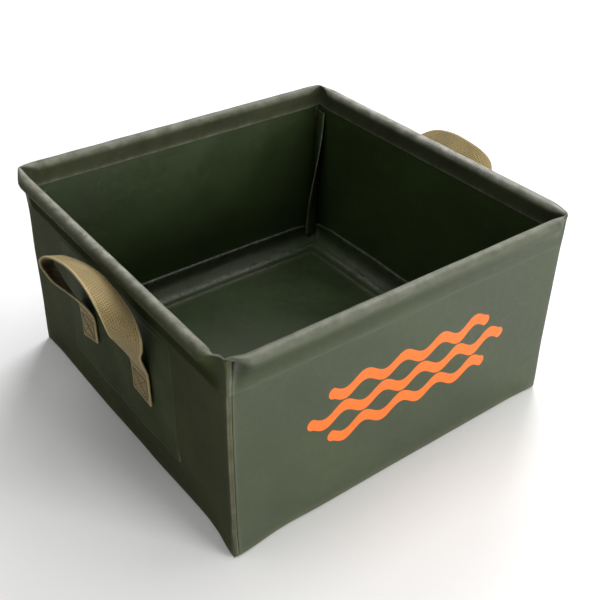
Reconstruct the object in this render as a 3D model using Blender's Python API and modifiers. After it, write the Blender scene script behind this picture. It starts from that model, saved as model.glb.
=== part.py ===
"""Collapsible camp washbasin: a square tub of coated sheet on a rim of four rods, with two webbing handles.

Metres, +Z up. The origin is the middle of the underside. The front wall faces -Y and the handles are on -X and +X.
Each side is built as the front wall's side and then turned about Z.
"""

import math

import bmesh
import bpy
from mathutils import Matrix, Vector

# Overall sizes
BASE_SIDE = 0.340
RIM_OVERHANG = 0.010
HEIGHT = 0.191

# Coated sheet, and the clearance that separate pieces keep
SHEET = 0.001
GAP = 0.0003

# Rim: rods in sleeves, with the two-ply hem below each sleeve
ROD_DIAMETER = 0.0095
ROD_END_SETBACK = 0.019
ROD_END_ROUND = 0.0012
HEM_DEPTH = 0.026
FLAT_SLEEVE_LEAN = 0.3
FLAT_SLEEVE_SLOT = 0.0012
FLAT_SLEEVE_SAG = 0.003
FLAT_SKIRT_HEIGHT = 0.0075
SKIRT_PULL_IN = 0.002

# Corner seams: each wall turns in round a small bend and runs inwards along the diagonal
SEAM_INNER_RADIUS = 0.0002
SEAM_WIDTH_TOP = 0.015
SEAM_WIDTH_BASE = 0.0055

# Base: a tray whose margin is turned up and welded inside the walls
BASE_MARGIN_HEIGHT = 0.022
BASE_SEAM_CLEARANCE = 0.0012
BASE_BEND_RADIUS = 0.004

# Handles: webbing sewn to a welded patch on each side wall
PATCH_LENGTH = 0.190
PATCH_ABOVE_GROUND = 0.034
PATCH_BELOW_HEM = 0.011
PATCH_CORNER_RADIUS = 0.005
WEBBING_WIDTH = 0.029
WEBBING_THICKNESS = 0.002
HANDLE_SPACING = 0.095
HANDLE_OFF_MIDDLE = -0.0045
FOLD_BELOW_HEM = 0.063
SEWN_LENGTH = 0.029
SEWN_TOP_BEVEL = 0.0035
STITCH_INSET = 0.003
STITCH_TOP_INSET = 0.0015
THREAD = 0.0009
THREAD_HEIGHT = 0.0006

# The strap's loop. The centre line's points are shares of the loop's reach away from the wall, half the spacing of
# the sewn ends along the wall, and the loop's rise. The step from there to the strap's inner edge is in shares of
# the webbing's width.
LOOP_REACH = 0.033
LOOP_RISE = 0.083
LOOP_CENTRE_SHARES = (
    (0.355, 1.179, 0.340),
    (0.536, 1.438, 0.551),
    (0.614, 1.491, 0.720),
    (0.642, 1.300, 0.856),
    (0.652, 0.904, 0.952),
    (0.668, 0.393, 0.998),
    (0.726, -0.127, 0.991),
    (0.836, -0.556, 0.935),
    (0.936, -0.844, 0.845),
    (0.939, -0.983, 0.716),
    (0.727, -1.012, 0.506),
)
LOOP_ACROSS_SHARES = (
    (-0.117, 0.483, -0.072),
    (-0.248, 0.431, -0.105),
    (-0.350, 0.341, -0.138),
    (-0.393, 0.233, -0.198),
    (-0.400, 0.116, -0.260),
    (-0.416, 0.002, -0.278),
    (-0.416, -0.126, -0.260),
    (-0.362, -0.266, -0.221),
    (-0.248, -0.393, -0.166),
    (-0.090, -0.479, -0.091),
    (0.055, -0.505, -0.017),
)
LOOP_LEAD_IN = 0.020
LOOP_STEPS = 3
LOOP_COLUMNS = 4

# Facet counts
SLEEVE_SEGMENTS = 24
BEND_SEGMENTS = 6
CORNER_STEPS = 5

SHEET_COLOUR = (0.060, 0.075, 0.045, 1.0)
WEBBING_COLOUR = (0.52, 0.42, 0.24, 1.0)
ROD_COLOUR = (0.30, 0.30, 0.29, 1.0)
THREAD_COLOUR = (0.60, 0.52, 0.34, 1.0)

SIDES = {"front": 0, "right": 1, "back": 2, "left": 3}

WALL_OUT = BASE_SIDE / 2
ROD_RADIUS = ROD_DIAMETER / 2
SLEEVE_BORE = ROD_RADIUS + GAP
SLEEVE_RADIUS = SLEEVE_BORE + SHEET
SLEEVE_OUT = WALL_OUT + RIM_OVERHANG - SLEEVE_RADIUS
SLEEVE_HEIGHT = HEIGHT - SLEEVE_RADIUS
WALL_TOP = HEIGHT - HEM_DEPTH
HEM_BOTTOM = WALL_TOP + GAP
FLAT_SLEEVE_TOP = HEIGHT - FLAT_SLEEVE_SAG
FLAT_SLEEVE_BOTTOM = HEM_BOTTOM + FLAT_SKIRT_HEIGHT
ROD_LENGTH = BASE_SIDE - 2 * ROD_END_SETBACK
SLEEVE_LENGTH = ROD_LENGTH + 2 * GAP
MITRE_SETBACK = GAP / math.sqrt(2)
SEAM_BEND_RADIUS = SEAM_INNER_RADIUS + SHEET / 2
PATCH_TOP = WALL_TOP - PATCH_BELOW_HEM
HINGE_HEIGHT = WALL_TOP - FOLD_BELOW_HEM
SEWN_BOTTOM = HINGE_HEIGHT - SEWN_LENGTH
PATCH_OUT = WALL_OUT + GAP
SEWN_OUT = PATCH_OUT + SHEET + GAP
STRAP_MIDDLE_OUT = SEWN_OUT + WEBBING_THICKNESS / 2
STITCH_OUT = SEWN_OUT + WEBBING_THICKNESS + GAP


def turn_to_side(side):
    """The turn about Z that carries a piece from the front to the named side."""
    return Matrix.Rotation(math.radians(90) * SIDES[side], 4, "Z")


def front_point(along, out, up):
    """A point of the front side: along the wall, out from the middle and up."""
    return Vector((along, -out, up))


# A flat outline drawn as (out, up) and carried along the wall, and one drawn as (along, up) and carried outwards
PROFILE_ACROSS = Matrix(((0, 0, -1, 0), (-1, 0, 0, 0), (0, 1, 0, 0), (0, 0, 0, 1)))
OUTLINE_ON_WALL = Matrix(((1, 0, 0, 0), (0, 0, -1, 0), (0, 1, 0, 0), (0, 0, 0, 1)))


def new_material(name, colour, roughness):
    material = bpy.data.materials.new(name)
    material.use_nodes = True
    shader = material.node_tree.nodes["Principled BSDF"]
    shader.inputs["Base Color"].default_value = colour
    shader.inputs["Roughness"].default_value = roughness
    shader.inputs["Metallic"].default_value = 0.0
    return material


def add_object(name, data, parent, matrix, colour, roughness):
    """Put a mesh or curve in the scene under its parent, with a material of its own."""
    made = bpy.data.objects.new(name, data)
    parts.objects.link(made)
    made.parent = parent
    made.matrix_parent_inverse = parent.matrix_world.inverted() if parent else Matrix.Identity(4)
    made.matrix_basis = matrix
    data.materials.append(new_material(name, colour, roughness))
    return made


def add_empty(name, location, parent=None):
    """An empty on a joint's axis, which carries the pieces that move with it."""
    empty = bpy.data.objects.new(name, None)
    parts.objects.link(empty)
    empty.parent = parent
    empty.location = Vector(location) - (parent.matrix_world.translation if parent else Vector())
    bpy.context.view_layer.update()
    return empty


def outline_curve(name, outlines, thickness):
    """A flat closed outline, with any holes as further outlines, as thick as given about its own plane."""
    curve = bpy.data.curves.new(name, "CURVE")
    curve.dimensions = "2D"
    curve.fill_mode = "BOTH"
    curve.extrude = thickness / 2
    for points in outlines:
        spline = curve.splines.new("POLY")
        spline.points.add(len(points) - 1)
        spline.use_cyclic_u = True
        for target, (x, y) in zip(spline.points, points):
            target.co = (x, y, 0, 1)
    return curve


def mesh_from(name, build):
    """A mesh that build fills with faces, with its faces turned outwards."""
    shape = bmesh.new()
    build(shape)
    bmesh.ops.recalc_face_normals(shape, faces=shape.faces)
    mesh = bpy.data.meshes.new(name)
    shape.to_mesh(mesh)
    shape.free()
    return mesh


def add_faces_between(shape, rows, closed):
    """Join neighbouring rows of vertices with four-sided faces."""
    count = len(rows[0])
    last = count if closed else count - 1
    for low, high in zip(rows, rows[1:]):
        for n in range(last):
            shape.faces.new((low[n], low[(n + 1) % count], high[(n + 1) % count], high[n]))


def loop_edges_of(shape, verts):
    """The edges round a closed loop of vertices."""
    return [shape.edges.get((verts[n - 1], verts[n])) for n in range(len(verts))]


def smooth(mesh, degrees=35):
    mesh.shade_smooth()
    mesh.set_sharp_from_angle(angle=math.radians(degrees))


def arc(centre, radius, start, end, steps):
    """Points on an arc, from the start angle to the end angle, in degrees."""
    angles = [math.radians(start + (end - start) * n / steps) for n in range(steps + 1)]
    return [(centre[0] + radius * math.cos(a), centre[1] + radius * math.sin(a)) for a in angles]


def rounded_rectangle(low, high, radius, steps=4):
    (x0, y0), (x1, y1) = low, high
    lows = (x0 + radius, y0 + radius)
    highs = (x1 - radius, y1 - radius)
    centres = (highs, (lows[0], highs[1]), lows, (highs[0], lows[1]))
    return [p for n, c in enumerate(centres) for p in arc(c, radius, 90 * n, 90 * (n + 1), steps)]


def leaning_ring(centre, half_sizes, lean, start, end, steps):
    """Points round an ellipse, from the start angle to the end angle in degrees, that leans out by lean per up."""
    points = []
    for n in range(steps + 1):
        angle = math.radians(start + (end - start) * n / steps)
        up = half_sizes[1] * math.sin(angle)
        points.append((centre[0] + half_sizes[0] * math.cos(angle) + lean * up, centre[1] + up))
    return points


def hem_section(skirt_out, centre, half_sizes, lean):
    """A hem seen from its end, as (out, up): a two-ply skirt that runs up into a sleeve, and the sleeve's bore."""
    skirt_lean = math.atan2(centre[0] - (skirt_out - SHEET), centre[1] - HEM_BOTTOM)
    below = -90.0 - math.degrees(skirt_lean)
    opening = math.degrees(math.asin(SHEET / half_sizes[0]))
    start = below + opening
    sleeve = leaning_ring(centre, half_sizes, lean, start, start + 360.0 - 2 * opening, SLEEVE_SEGMENTS - 1)
    bore_sizes = (half_sizes[0] - SHEET, half_sizes[1] - SHEET)
    bore = leaning_ring(centre, bore_sizes, lean, 0, 360, SLEEVE_SEGMENTS)[:-1]
    skirt = [(skirt_out - 2 * SHEET, HEM_BOTTOM), (skirt_out, HEM_BOTTOM)]
    return skirt + sleeve, bore


def base_corner_radius(reach):
    """The corner radius that keeps the tray, which reaches so far from the middle, clear of the corner seams."""
    widening = (SEAM_WIDTH_TOP - SEAM_WIDTH_BASE) / WALL_TOP
    seam = SEAM_WIDTH_BASE + widening * BASE_MARGIN_HEIGHT
    cut_off = (seam + BASE_SEAM_CLEARANCE) / math.sqrt(2) - (WALL_OUT - reach)
    return cut_off / (1 - math.sqrt(1 / 2))


def build_base(parent):
    """The base: a rounded square tray, laid out on its outer skin."""
    reach = WALL_OUT - SHEET - GAP
    corner_radius = base_corner_radius(reach)

    def skin(shape):
        outline = rounded_rectangle((-reach, -reach), (reach, reach), corner_radius, BEND_SEGMENTS)
        floor = shape.faces.new([shape.verts.new((x, y, 0)) for x, y in outline])
        bottom = list(floor.edges)
        raised = bmesh.ops.extrude_edge_only(shape, edges=bottom)["geom"]
        lifted = [v for v in raised if isinstance(v, bmesh.types.BMVert)]
        bmesh.ops.translate(shape, verts=lifted, vec=(0, 0, BASE_MARGIN_HEIGHT))
        bmesh.ops.bevel(shape, geom=bottom, offset=BASE_BEND_RADIUS, segments=3, profile=0.5, affect="EDGES")

    mesh = mesh_from("base_panel", skin)
    smooth(mesh)
    base = add_object("base_panel", mesh, parent, Matrix.Identity(4), SHEET_COLOUR, 0.35)
    shell = base.modifiers.new("Sheet", "SOLIDIFY")
    shell.thickness = SHEET
    shell.offset = -1
    shell.use_even_offset = True
    return base


def wall_plan(seam_width):
    """Half of a wall's middle surface seen from above: from its middle to the free edge of its corner seam."""
    out = WALL_OUT - SHEET / 2
    beside = (SHEET + GAP) / 2
    radius = SEAM_BEND_RADIUS
    turn_along = out - radius - math.sqrt(2) * (radius + beside)
    bend = arc((turn_along, out - radius), radius, 90, -45, BEND_SEGMENTS)
    corner_to_tip = seam_width / math.sqrt(2)
    shift = beside / math.sqrt(2)
    tip = (WALL_OUT - corner_to_tip - shift, WALL_OUT - corner_to_tip + shift)
    return [(0.0, out)] + bend + [tip]


def build_wall(side, parent):
    """A wall: a flat sheet whose two ends turn in and run side by side with the next walls' ends."""
    name = side + "_wall"

    def sheet(shape):
        rows = []
        for up, seam_width in ((0.0, SEAM_WIDTH_BASE), (WALL_TOP, SEAM_WIDTH_TOP)):
            half = wall_plan(seam_width)
            plan = [(-along, out) for along, out in reversed(half[1:])] + half
            rows.append([shape.verts.new(front_point(along, out, up)) for along, out in plan])
        add_faces_between(shape, rows, closed=False)

    mesh = mesh_from(name, sheet)
    smooth(mesh)
    wall = add_object(name, mesh, parent, turn_to_side(side), SHEET_COLOUR, 0.4)
    shell = wall.modifiers.new("Sheet", "SOLIDIFY")
    shell.thickness = SHEET
    shell.offset = 0
    shell.use_even_offset = True
    return wall


def hem_rows(round_points, flat_points):
    """Rows of points along a hem, from one corner mitre to the other, for its skin or its bore."""
    rows = []
    for n in range(CORNER_STEPS + 1):
        share = 1 - n / CORNER_STEPS
        eased = share * share * (3 - 2 * share)
        row = []
        for (round_out, round_up), (flat_out, flat_up) in zip(round_points, flat_points):
            mitre_along = flat_out - MITRE_SETBACK
            along = SLEEVE_LENGTH / 2 + (mitre_along - SLEEVE_LENGTH / 2) * share
            out = round_out + (flat_out - round_out) * eased
            row.append((along, out, round_up + (flat_up - round_up) * eased))
        rows.append(row)
    return rows + [[(-along, out, up) for along, out, up in row] for row in reversed(rows)]


def build_hem(side, parent):
    """A rim hem: the sleeve round one rod, flattened towards both corners, with the skirt that joins the wall."""
    name = side + "_rim_hem"
    middle = hem_section(WALL_OUT, (SLEEVE_OUT, SLEEVE_HEIGHT), (SLEEVE_RADIUS, SLEEVE_RADIUS), 0)
    flat_sizes = (SHEET + FLAT_SLEEVE_SLOT / 2, (FLAT_SLEEVE_TOP - FLAT_SLEEVE_BOTTOM) / 2)
    flat_centre = (WALL_OUT, (FLAT_SLEEVE_TOP + FLAT_SLEEVE_BOTTOM) / 2)
    ends = hem_section(WALL_OUT - SKIRT_PULL_IN, flat_centre, flat_sizes, FLAT_SLEEVE_LEAN)

    def sheet(shape):
        loops = []
        for middle_points, end_points in zip(middle, ends):
            rows = hem_rows(middle_points, end_points)
            made = [[shape.verts.new(front_point(*p)) for p in row] for row in rows]
            add_faces_between(shape, made, closed=True)
            loops.append(made)
        for end in (0, -1):
            edges = [e for made in loops for e in loop_edges_of(shape, made[end])]
            bmesh.ops.triangle_fill(shape, edges=edges, use_beauty=True)

    mesh = mesh_from(name, sheet)
    smooth(mesh)
    return add_object(name, mesh, parent, turn_to_side(side), SHEET_COLOUR, 0.4)


def build_rod(side, parent):
    """The rod inside one sleeve of the rim."""
    name = side + "_rim_rod"
    bpy.ops.mesh.primitive_cylinder_add(vertices=SLEEVE_SEGMENTS, radius=ROD_RADIUS, depth=ROD_LENGTH)
    made = bpy.context.object
    mesh = made.data
    bpy.data.objects.remove(made)
    mesh.name = name
    smooth(mesh)
    place = Matrix.Translation(front_point(0, SLEEVE_OUT, SLEEVE_HEIGHT)) @ Matrix.Rotation(math.radians(90), 4, "Y")
    rod = add_object(name, mesh, parent, turn_to_side(side) @ place, ROD_COLOUR, 0.5)
    rounding = rod.modifiers.new("Round ends", "BEVEL")
    rounding.width = ROD_END_ROUND
    rounding.segments = 2
    rounding.limit_method = "ANGLE"
    rounding.angle_limit = math.radians(60)
    return rod


def build_patch(side, parent):
    """The patch welded on a side wall to carry its handle."""
    name = side + "_handle_patch"
    low = (-PATCH_LENGTH / 2, PATCH_ABOVE_GROUND)
    high = (PATCH_LENGTH / 2, PATCH_TOP)
    curve = outline_curve(name, (rounded_rectangle(low, high, PATCH_CORNER_RADIUS),), SHEET)
    place = turn_to_side(side) @ Matrix.Translation(front_point(0, PATCH_OUT + SHEET / 2, 0)) @ OUTLINE_ON_WALL
    return add_object(name, curve, parent, place, SHEET_COLOUR, 0.45)


def build_sewn_end(name, side, along, parent):
    """One end of the strap, sewn flat on the patch, with its top bevelled where the strap turns over it."""
    half = WEBBING_THICKNESS / 2
    top = HINGE_HEIGHT - half - GAP
    face = SEWN_OUT + WEBBING_THICKNESS
    back_of_bevel = SEWN_OUT + half / 2
    profile = [
        (SEWN_OUT, SEWN_BOTTOM),
        (face, SEWN_BOTTOM),
        (face, top - SEWN_TOP_BEVEL),
        (back_of_bevel, top),
        (SEWN_OUT, top),
    ]
    curve = outline_curve(name, (profile,), WEBBING_WIDTH)
    place = turn_to_side(side) @ Matrix.Translation(front_point(along, 0, 0)) @ PROFILE_ACROSS
    return add_object(name, curve, parent, place, WEBBING_COLOUR, 0.8)


def build_box_stitch(name, side, along, parent):
    """The box of thread with its two diagonals that holds a strap end down."""
    half_width = WEBBING_WIDTH / 2 - STITCH_INSET
    bottom = SEWN_BOTTOM + STITCH_INSET
    top = HINGE_HEIGHT - WEBBING_THICKNESS / 2 - GAP - SEWN_TOP_BEVEL - STITCH_TOP_INSET
    middle = (bottom + top) / 2
    half_height = (top - bottom) / 2
    frame = [(-half_width, bottom), (half_width, bottom), (half_width, top), (-half_width, top)]
    inner_width = half_width - THREAD
    inner_height = half_height - THREAD
    slope = half_height / half_width
    across = THREAD / 2 * math.sqrt(1 + slope**2)
    over = across / slope
    side_height = min(inner_width * slope - across, inner_height)
    end_width = min(inner_height / slope - over, inner_width)
    holes = []
    for sign in (-1, 1):
        edge = sign * inner_width
        holes.append([(sign * over, middle), (edge, middle + side_height), (edge, middle - side_height)])
        edge = middle + sign * inner_height
        holes.append([(0, middle + sign * across), (end_width, edge), (-end_width, edge)])
    curve = outline_curve(name, [frame] + holes, THREAD_HEIGHT)
    lift = Matrix.Translation(front_point(along, STITCH_OUT + THREAD_HEIGHT / 2, 0))
    return add_object(name, curve, parent, turn_to_side(side) @ lift @ OUTLINE_ON_WALL, THREAD_COLOUR, 0.8)


def smooth_path(points, before, after):
    """Points on a smooth curve through the given ones. It heads on from before and ends heading for after."""
    run = [before] + points + [after]
    path = []
    for n in range(len(points) - 1):
        p0, p1, p2, p3 = run[n : n + 4]
        for step in range(LOOP_STEPS):
            t = step / LOOP_STEPS
            bend = (2 * p0 - 5 * p1 + 4 * p2 - p3) * t**2 + (3 * p1 - p0 - 3 * p2 + p3) * t**3
            path.append(p1 + ((p2 - p0) * t + bend) / 2)
    return path + [points[-1]]


def loop_edge(toward_inner):
    """One edge of the strap's loop, from the sewn end on the +along side to the other one."""
    half_spacing = HANDLE_SPACING / 2
    width = WEBBING_WIDTH * toward_inner
    points = [Vector((0, half_spacing + width / 2, 0))]
    for centre, across in zip(LOOP_CENTRE_SHARES, LOOP_ACROSS_SHARES):
        middle = Vector((LOOP_REACH * centre[0], half_spacing * centre[1], LOOP_RISE * centre[2]))
        points.append(middle + width * Vector(across))
    points.append(Vector((0, -half_spacing - width / 2, 0)))
    below = Vector((0, 0, -LOOP_LEAD_IN))
    return smooth_path(points, points[0] + below, points[-1] + below)


def build_handle_strap(side, parent):
    """The free part of a handle: flat webbing that rises from two sewn ends and twists to lie flat at the top."""
    name = side + "_handle_strap"

    def webbing(shape):
        inner_edge = loop_edge(1)
        outer_edge = loop_edge(-1)
        rows = []
        for inner, outer in zip(inner_edge, outer_edge):
            row = []
            for column in range(LOOP_COLUMNS + 1):
                away, along, up = inner.lerp(outer, column / LOOP_COLUMNS)
                spot = front_point(HANDLE_OFF_MIDDLE + along, STRAP_MIDDLE_OUT + away, HINGE_HEIGHT + up)
                row.append(shape.verts.new(spot))
            rows.append(row)
        add_faces_between(shape, rows, closed=False)

    mesh = mesh_from(name, webbing)
    smooth(mesh)
    strap = add_object(name, mesh, parent, turn_to_side(side), WEBBING_COLOUR, 0.8)
    shell = strap.modifiers.new("Webbing", "SOLIDIFY")
    shell.thickness = WEBBING_THICKNESS
    shell.offset = 0
    shell.use_even_offset = True
    return strap


def build_handle(side):
    """A handle's patch, sewn ends and strap, each on the axis that carries it."""
    build_patch(side, None)
    hinge_place = turn_to_side(side) @ front_point(HANDLE_OFF_MIDDLE, STRAP_MIDDLE_OUT, HINGE_HEIGHT)
    ends = add_empty(side + "_handle_drop_axis", hinge_place)
    swing = add_empty(side + "_handle_swing_axis", hinge_place, ends)
    toward_front = {"left": 1, "right": -1}[side]
    for which, sign in (("front", 1), ("back", -1)):
        along = HANDLE_OFF_MIDDLE + sign * toward_front * HANDLE_SPACING / 2
        build_sewn_end(f"{side}_{which}_strap_end", side, along, ends)
        build_box_stitch(f"{side}_{which}_box_stitch", side, along, ends)
    build_handle_strap(side, swing)


def build_washbasin():
    rim = add_empty("rim_drop_axis", (0, 0, HEM_BOTTOM))
    build_base(None)
    for side in SIDES:
        build_wall(side, None)
        build_hem(side, rim)
        build_rod(side, rim)
    for side in ("left", "right"):
        build_handle(side)


for old in list(bpy.data.objects):
    bpy.data.objects.remove(old)
parts = bpy.data.collections.new("camp_washbasin")
bpy.context.scene.collection.children.link(parts)
build_washbasin()
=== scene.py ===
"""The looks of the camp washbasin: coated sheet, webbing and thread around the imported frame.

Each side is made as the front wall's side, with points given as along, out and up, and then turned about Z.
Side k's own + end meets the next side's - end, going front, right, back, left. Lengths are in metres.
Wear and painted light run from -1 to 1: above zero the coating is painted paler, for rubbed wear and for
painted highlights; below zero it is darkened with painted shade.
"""

import math

import bpy
import numpy as np
from mathutils import Matrix, Vector


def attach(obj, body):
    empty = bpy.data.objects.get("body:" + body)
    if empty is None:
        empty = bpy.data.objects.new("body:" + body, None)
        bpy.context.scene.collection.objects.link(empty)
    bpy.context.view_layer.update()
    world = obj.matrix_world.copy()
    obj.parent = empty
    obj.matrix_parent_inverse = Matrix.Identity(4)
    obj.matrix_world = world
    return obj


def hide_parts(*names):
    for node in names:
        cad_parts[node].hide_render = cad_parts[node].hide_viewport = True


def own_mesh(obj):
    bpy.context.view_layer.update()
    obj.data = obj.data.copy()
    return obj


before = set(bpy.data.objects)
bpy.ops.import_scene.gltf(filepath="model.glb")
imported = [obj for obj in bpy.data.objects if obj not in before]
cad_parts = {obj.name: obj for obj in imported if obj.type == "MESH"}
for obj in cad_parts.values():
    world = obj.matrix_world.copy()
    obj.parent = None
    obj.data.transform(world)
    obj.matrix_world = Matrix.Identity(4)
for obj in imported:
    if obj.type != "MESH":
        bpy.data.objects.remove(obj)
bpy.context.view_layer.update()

# Camera, fitted to the rim, corners and ground line of the photograph
CAMERA_AT = (-0.4061, -0.5651, 0.5618)
CAMERA_AZIMUTH = math.radians(-36.99)
CAMERA_ELEVATION = math.radians(35.06)
CAMERA_ROLL = math.radians(0.78)
FOCAL_PIXELS = 899.7
IMAGE_PIXELS = 600.0
SENSOR = 36.0

# Sizes shared with the frame
WALL_OUT = 0.170
ROD_OUT, ROD_UP, SLEEVE_RADIUS = 0.17395, 0.18495, 0.00605
HINGE_UP, STRAP_MIDDLE_OUT = 0.102, 0.1726
HANDLE_SPACING, HANDLE_OFF_MIDDLE = 0.095, -0.0045
WEBBING_WIDTH, WEBBING_THICKNESS = 0.029, 0.002

# Coated sheet
SHEET = 0.0009
WALL_TOP, HEM_FOOT = 0.172, 0.158
CORNER_AT, CORNER_BEND, SMALLEST_BEND = 0.1690, 0.0018, 0.0003
LAP, LAP_CROWN, EDGE_ROUND = 0.0036, 0.0006, 0.0011
GROOVE_AT = CORNER_AT - LAP
END_S = CORNER_AT + CORNER_BEND * math.pi / 2 + LAP

SIDES = ("front", "right", "back", "left")
CORNERS = ("front_right", "back_right", "back_left", "front_left")

# How far each corner is pulled in along x and along y, as (height, distance) pairs
CORNER_PULL = {
    "front_right": (((0.0, -0.0014), (0.165, -0.0012), (0.187, -0.0002)),) * 2,
    "back_right": (((0.0, -0.0012), (0.165, -0.0010), (0.187, -0.0010)),) * 2,
    "back_left": (((0.0, -0.0012), (0.10, -0.0004), (0.150, 0.0008), (0.172, 0.0006), (0.187, 0.0004)),) * 2,
    "front_left": (
        ((0.0, -0.0024), (0.045, -0.0006), (0.120, -0.0004), (0.150, 0.0008), (0.187, 0.0050)),
        ((0.0, -0.0048), (0.035, -0.0010), (0.120, -0.0004), (0.150, 0.0008), (0.187, 0.0062)),
    ),
}
# How far the front left corner's own edge is tucked behind its lap's ear at the ground
EAR_TUCK, EAR_HEIGHT = 0.0020, 0.045
# How far along a side the pull of its - and + end reaches at the ground, and from PULL_TOP up
PULL_REACH = {
    "front": (0.055, 0.030), "right": (0.030, 0.030), "back": (0.030, 0.030), "left": (0.030, 0.024),
}
PULL_REACH_TOP, PULL_TOP = 0.0175, 0.13
# The height of the flat sleeve at each corner
CORNER_TOP = {"front_right": 0.1890, "back_right": 0.1912, "back_left": 0.1920, "front_left": 0.1866}

# How far each wall's foot stands out, as (along, distance) pairs, and how high that reaches
FOOT_LINE = {
    "front": ((-0.165, 0.001), (-0.084, 0.0024), (0.0, 0.0017), (0.165, 0.0012)),
    "right": ((-0.165, 0.001), (-0.05, 0.0002), (0.06, 0.0014), (0.165, 0.001)),
    "back": ((-0.165, 0.001), (-0.03, 0.0016), (0.08, 0.0), (0.165, 0.001)),
    "left": ((-0.165, 0.001), (-0.06, 0.0011), (0.035, -0.0004), (0.125, -0.0026), (0.165, -0.0004)),
}
FOOT_REACH = 0.060
FOOT_ROUND = 0.0020
# The walls' slow bulges: their height, their end along the wall, and how long they fade along and up
BULGE, BULGE_END = 0.0007, 0.160
BULGE_END_FADE, BULGE_FADE = 0.045, 0.02

# Where each hem starts to flatten past its rod, and over what length, at its - and + ends
HEM_END = {
    "front": ((0.1590, 0.0120), (0.1535, 0.0140)),
    "right": ((0.1512, 0.0210), (0.1512, 0.0160)),
    "back": ((0.1535, 0.0140), (0.1560, 0.0170)),
    "left": ((0.1512, 0.0210), (0.1508, 0.0060)),
}
# Where each hem's paler crest starts on the way round it, over what share it grows, and its strength: rubbed
# wear with a painted highlight
CREST_WEAR_AND_HIGHLIGHT = {
    "front": (0.36, 0.22, 0.62), "right": (0.30, 0.15, 1.0),
    "back": (0.34, 0.15, 0.48), "left": (0.40, 0.24, 1.0),
}
# How much stronger the crest's painted highlight is at a hem's + end than in its middle
CREST_HIGHLIGHT_LEAN = {"front": 0.05, "right": 0.0, "back": 0.06, "left": -0.30}
# How pale each hem's outer foot is, from wear and a painted highlight, how dark the painted shade in the
# crease above it is, and the crease's place and reach
FOOT_HIGHLIGHT_AND_CREASE_SHADE = {
    "front": (0.15, 0.15, 0.24, 0.10), "right": (0.10, 0.5, 0.24, 0.10),
    "back": (0.10, 0.5, 0.24, 0.10), "left": (0.0, 0.5, 0.13, 0.17),
}

# The waves of each surface's slow unevenness: radians per metre along it and up it, phase and strength
RIPPLE_LOW, RIPPLE_HIGH, RIPPLE_TOTAL = (30, 18, 0, 0.4), (95, 60, 6.28, 1.0), 3.0
random = np.random.default_rng(7)
RIPPLES = {name: random.uniform(RIPPLE_LOW, RIPPLE_HIGH, (7, 4)) for name in SIDES + ("floor",)}


def smooth(x):
    """From 0 to 1 with a soft start and a soft end."""
    x = np.clip(x, 0.0, 1.0)
    return x * x * (3 - 2 * x)


def bell(x, middle, width):
    """A bell curve of height 1."""
    return np.exp(-(((x - middle) / width) ** 2))


def fading(distance, reach):
    """From 1 at no distance towards 0 beyond the reach."""
    return np.exp(-np.clip(distance, 0, None) / reach)


def unit(vectors):
    return vectors / np.linalg.norm(vectors, axis=-1, keepdims=True)


def lengths_to(points):
    """The way along a line of points to each of them."""
    return np.concatenate([[0], np.cumsum(np.linalg.norm(np.diff(points, axis=0), axis=1))])


def eased(x, pairs):
    """A smooth line through the pairs."""
    xs, ys = np.array(pairs).T
    x = np.clip(x, xs[0], xs[-1])
    n = np.clip(np.searchsorted(xs, x, side="right") - 1, 0, len(xs) - 2)
    share = smooth((x - xs[n]) / (xs[n + 1] - xs[n]))
    return ys[n] + (ys[n + 1] - ys[n]) * share


def turned(side, points):
    """Local points (along, out, up) of a side in the frame's own axes."""
    x, y, up = points[..., 0], -points[..., 1], points[..., 2]
    for _ in range(SIDES.index(side)):
        x, y = -y, x
    return np.stack([x, y, up], axis=-1)


def ends_of(side):
    """The corners at a side's - and + end."""
    k = SIDES.index(side)
    return CORNERS[k - 1], CORNERS[k]


def ripple(name, u, v):
    """A slow unevenness, from about -1 to 1."""
    return sum(w * np.sin(a * u + b * v + p) for a, b, p, w in RIPPLES[name]) / RIPPLE_TOTAL


def foot_out(side, s, z):
    """How far a wall's foot leaves its plane."""
    return eased(s, FOOT_LINE[side]) * smooth(1 - z / FOOT_REACH)


def wall_out(side, s, z):
    """How far the outer face of a wall stands from the middle, before its corners are pulled in."""
    fade = smooth((BULGE_END - np.abs(s)) / BULGE_END_FADE)
    fade = fade * smooth((WALL_TOP - z) / BULGE_FADE) * smooth(z / BULGE_FADE)
    out = WALL_OUT + BULGE * fade * ripple(side, s, z) + foot_out(side, s, z)
    inside = np.clip(1 - z / FOOT_ROUND, 0.0, 1.0)
    return out - FOOT_ROUND * (1 - np.sqrt(1 - inside**2))


def corner_pull(side, corner, z):
    """How far a corner is pulled in along a side, and from the side's face towards the middle."""
    pull = np.stack([eased(z, pairs) for pairs in CORNER_PULL[corner]])
    return pull if side in ("front", "back") else pull[::-1]


def pulls(side, s, z):
    """The pulls at both ends of a side and how much of each reaches a point."""
    minus, plus = ends_of(side)
    high = smooth(z / PULL_TOP)
    reach_minus, reach_plus = (reach + (PULL_REACH_TOP - reach) * high for reach in PULL_REACH[side])
    at_minus = smooth((-s - (CORNER_AT - reach_minus)) / reach_minus)
    at_plus = smooth((s - (CORNER_AT - reach_plus)) / reach_plus)
    return corner_pull(side, minus, z), corner_pull(side, plus, z), at_minus, at_plus


def round_in(distance):
    """How far an edge is turned in at a distance from its end."""
    left = np.clip(EDGE_ROUND - distance, 0.0, EDGE_ROUND)
    return EDGE_ROUND - np.sqrt(EDGE_ROUND**2 - left**2)


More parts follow.
